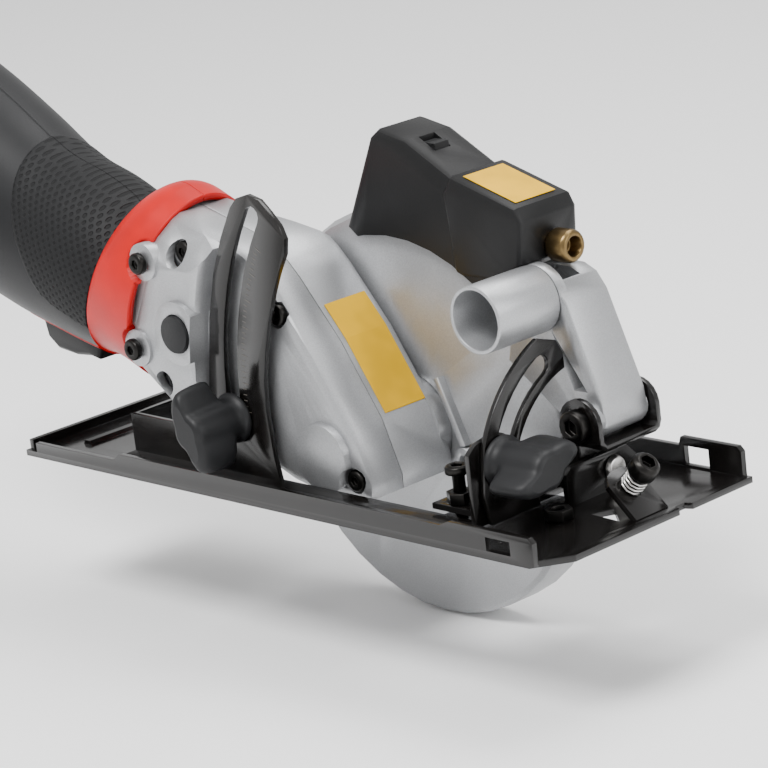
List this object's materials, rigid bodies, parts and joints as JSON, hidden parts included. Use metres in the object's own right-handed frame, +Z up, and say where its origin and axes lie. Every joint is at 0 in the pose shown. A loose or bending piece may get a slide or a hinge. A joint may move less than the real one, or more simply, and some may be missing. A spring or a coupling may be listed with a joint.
{
  "type": "circular saw",
  "caption": "Compact in-line circular saw with a barrel motor grip, tilting carriage on a pressed steel base, retracting blade guard and a line laser.",
  "frame": {"origin": "on the sole of the base plate, mid-width, under the rear panel", "axes": "+X is the cutting direction, +Y is the blade side, +Z is up"},
  "size_m": [0.3561, 0.0981, 0.1903],
  "materials": {
    "black_steel": "gloss black paint",
    "cast_silver": "silver paint with a fine sparkle",
    "bright_steel": "bare",
    "dark_screw": "blackened",
    "grey_plastic": "fine texture",
    "rubber": "matte",
    "red_plastic": "satin",
    "black_plastic": "fine texture",
    "copper": "wound copper and laminations",
    "brass": "turned"
  },
  "bodies": {
    "base": {"base_plate": "black_steel", "bevel_quadrant": "black_steel", "front_pivot_rivet": "bright_steel", "rear_pivot_rivet": "bright_steel", "guide_clamp_spring": "bright_steel", "guide_stop_nut": "dark_screw"},
    "guide_clamp": {"guide_clamp_screw": "dark_screw"},
    "carriage": {"carriage": "black_steel", "depth_clevis": "black_steel", "depth_pin": "dark_screw", "depth_pin_nut": "dark_screw", "bevel_stop_screw": "dark_screw", "bevel_stop_nut": "dark_screw", "bevel_bolt": "dark_screw"},
    "bevel_knob": {"bevel_knob": "grey_plastic"},
    "spindle": {"blade_spindle": "bright_steel", "output_gear": "bright_steel", "inner_flange": "bright_steel", "outer_flange": "bright_steel", "blade_bolt": "dark_screw", "saw_blade": "bright_steel"},
    "idler": {"idler_gear": "bright_steel"},
    "layshaft": {"layshaft": "bright_steel"},
    "armature": {"armature": "copper", "cooling_fan": "black_plastic"},
    "lower_guard": {"lower_guard": "cast_silver"},
    "depth_knob": {"depth_knob": "grey_plastic"},
    "spindle_lock": {"spindle_lock": "grey_plastic"},
    "trigger": {"trigger": "black_plastic"},
    "lock_off": {"lock_off_button": "black_plastic"},
    "laser_switch": {"laser_button": "rubber"},
    "head": {"gear_case_near": "cast_silver", "gear_case_far": "cast_silver", "case_screw_upper_lug": "dark_screw", "case_screw_lower_lug": "dark_screw", "case_screw_upper_rear": "dark_screw", "case_screw_lower_rear": "dark_screw", "case_screw_upper_front": "dark_screw", "case_screw_lower_front": "dark_screw", "spindle_far_bearing": "bright_steel", "motor_front_bearing": "bright_steel", "motor_rear_bearing": "bright_steel", "field_core": "copper", "handle_near": "grey_plastic", "handle_far": "grey_plastic", "grip_near": "rubber", "grip_far": "rubber", "collar_near": "red_plastic", "collar_far": "red_plastic", "handle_screw_rear_upper": "dark_screw", "handle_screw_rear_lower": "dark_screw", "power_switch": "black_plastic", "cord_gland": "rubber", "spindle_lock_spring": "bright_steel", "upper_guard": "cast_silver", "dust_tube": "cast_silver", "lower_guard_spring": "bright_steel", "laser_housing": "black_plastic", "laser_module": "brass", "depth_bolt": "dark_screw"}
  },
  "joints": [
    {"name": "bevel", "type": "hinge", "parent": "base", "child": "carriage", "pos_m": [0.094, 0.0175, 0.0085], "axis": [-1, 0, 0], "range_deg": [0, 45]},
    {"name": "depth", "type": "hinge", "parent": "carriage", "child": "head", "pos_m": [0.1835, 0.0195, 0.0255], "axis": [0, 1, 0], "range_deg": [0, 34]},
    {"name": "bevel_knob_turn", "type": "hinge", "parent": "carriage", "child": "bevel_knob", "pos_m": [0.1754, -0.02063, 0.02059], "axis": [1, 0, 0], "range_deg": [-90, 90]},
    {"name": "depth_knob_turn", "type": "hinge", "parent": "head", "child": "depth_knob", "pos_m": [0.06803, -0.0321, 0.02308], "axis": [0, -1, 0], "range_deg": [-90, 90]},
    {"name": "guide_clamp_turn", "type": "hinge", "parent": "base", "child": "guide_clamp", "pos_m": [0.2025, 0.004, 0.0086], "axis": [0.6691, 0, 0.7431], "range_deg": [-180, 180]},
    {"name": "blade_spin", "type": "hinge", "parent": "head", "child": "spindle", "pos_m": [0.104, 0.023, 0.0135], "axis": [0, 1, 0], "continuous": true},
    {"name": "idler_spin", "type": "hinge", "parent": "head", "child": "idler", "pos_m": [0.08367, -0.0135, 0.02192], "axis": [0, 1, 0], "continuous": true},
    {"name": "layshaft_spin", "type": "hinge", "parent": "head", "child": "layshaft", "pos_m": [0.0652, -0.0135, 0.02957], "axis": [0, 1, 0], "continuous": true},
    {"name": "armature_spin", "type": "hinge", "parent": "head", "child": "armature", "pos_m": [0.0652, -0.0135, 0.02957], "axis": [0.9239, 0, -0.3827], "continuous": true},
    {"name": "lower_guard_turn", "type": "hinge", "parent": "head", "child": "lower_guard", "pos_m": [0.104, 0.0153, 0.0135], "axis": [0, 1, 0], "range_deg": [0, 150], "stiffness_Nm_per_rad": 0.03, "springref_deg": -68.75},
    {"name": "spindle_lock_press", "type": "slide", "parent": "head", "child": "spindle_lock", "axis": [0, 1, 0], "range_m": [0, 0.0022], "stiffness_N_per_m": 800, "springref_m": -0.001},
    {"name": "trigger_press", "type": "slide", "parent": "head", "child": "trigger", "axis": [0.3827, 0, 0.9239], "range_m": [0, 0.0028], "stiffness_N_per_m": 900, "springref_m": -0.001},
    {"name": "lock_off_press", "type": "slide", "parent": "head", "child": "lock_off", "axis": [0, 1, 0], "range_m": [0, 0.0025], "stiffness_N_per_m": 500, "springref_m": -0.001},
    {"name": "laser_press", "type": "slide", "parent": "head", "child": "laser_switch", "axis": [0, 0, -1], "range_m": [0, 0.0012], "stiffness_N_per_m": 500, "springref_m": -0.001}
  ],
  "couplings": [
    {"joint": "idler_spin", "follows": "blade_spin", "ratio": -0.83333},
    {"joint": "layshaft_spin", "follows": "blade_spin", "ratio": 1.25},
    {"joint": "armature_spin", "follows": "blade_spin", "ratio": 3}
  ]
}
